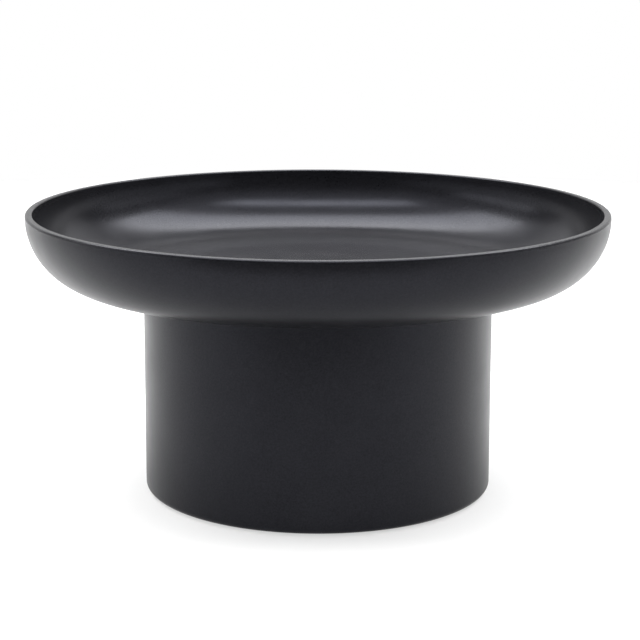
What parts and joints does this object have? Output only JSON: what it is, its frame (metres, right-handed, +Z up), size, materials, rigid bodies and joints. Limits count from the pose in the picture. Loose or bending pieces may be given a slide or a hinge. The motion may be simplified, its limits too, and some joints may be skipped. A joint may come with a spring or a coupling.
{
  "type": "pedestal bowl",
  "caption": "Wide shallow round bowl with a rounded side and a narrow rim, carried on a broad drum-shaped pedestal with a closed base and rubber feet.",
  "frame": {"origin": "centre of the footprint on the surface that the rubber feet stand on", "axes": "+Z up along the common axis of the bowl and the drum; +X through the first rubber foot"},
  "size_m": [0.33, 0.33, 0.162],
  "materials": {
    "bowl": "fine satin texture, moulded black ABS",
    "drum": "fine satin texture, moulded black ABS",
    "base_plate": "fine spark-eroded texture, moulded black ABS",
    "foot_rubber": "matt black rubber",
    "screw_steel": "zinc-plated steel"
  },
  "bodies": {
    "root": {"tray_bowl": "bowl", "pedestal_drum": "drum", "base_plate": "base_plate", "foot_pad_1": "foot_rubber", "foot_pad_2": "foot_rubber", "foot_pad_3": "foot_rubber", "foot_pad_4": "foot_rubber", "bowl_screws": "screw_steel", "base_screws": "screw_steel"}
  },
  "joints": []
}
